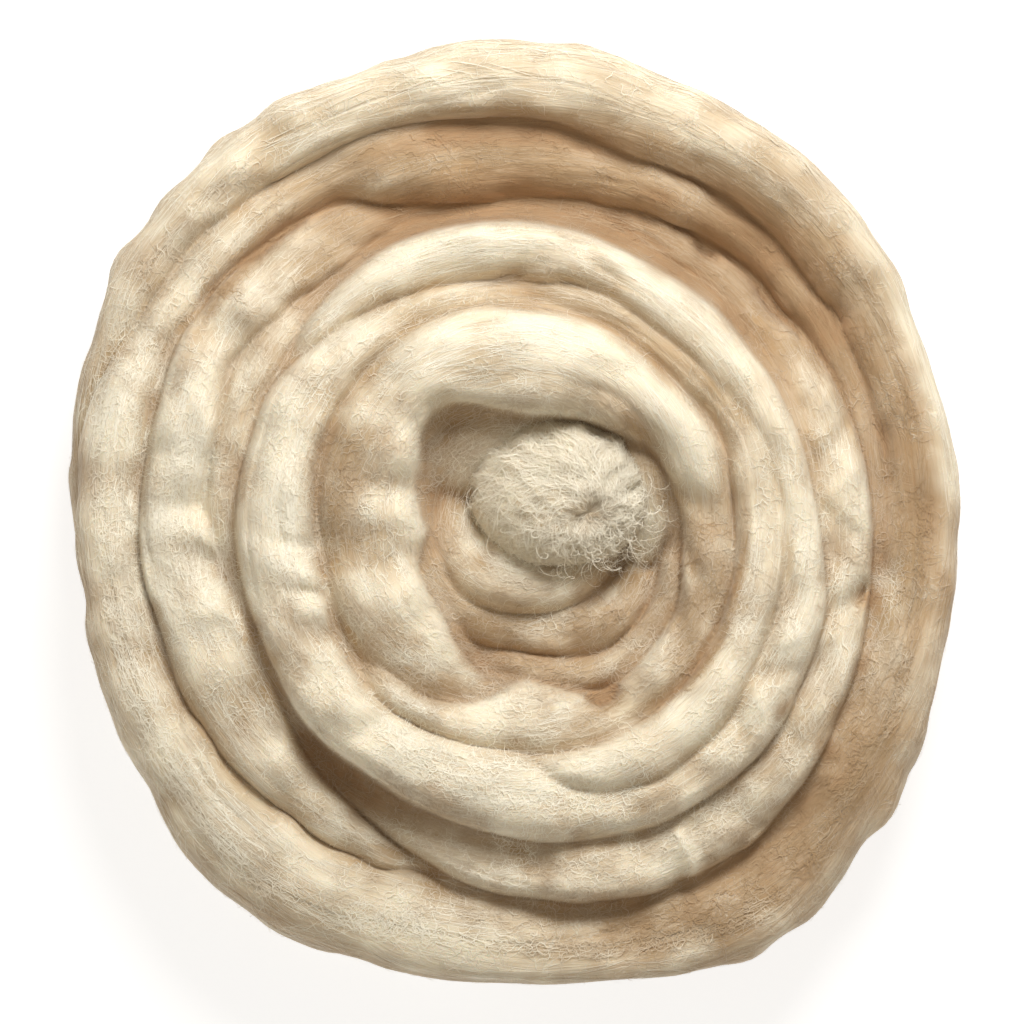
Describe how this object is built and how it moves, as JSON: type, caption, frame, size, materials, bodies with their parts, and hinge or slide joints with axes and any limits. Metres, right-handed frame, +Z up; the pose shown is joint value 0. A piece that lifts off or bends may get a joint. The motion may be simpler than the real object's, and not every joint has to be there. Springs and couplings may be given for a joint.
{
  "type": "wool roving coil",
  "caption": "Flat round coil of undyed combed wool roving, wound by hand in nested turns, its fluffy end in the middle, for spinning or felting.",
  "frame": {"origin": "centre of the coil's plan box, on the surface it rests on", "axes": "+Z up; +Y towards the side where the outermost strand rides highest; +X to the right seen from above"},
  "size_m": [0.2213, 0.2353, 0.0598],
  "materials": {
    "cream_wool": "undyed combed wool, soft and matt with a faint sheen along the fibres"
  },
  "bodies": {
    "root": {"roving_coil": "cream_wool"}
  },
  "joints": []
}
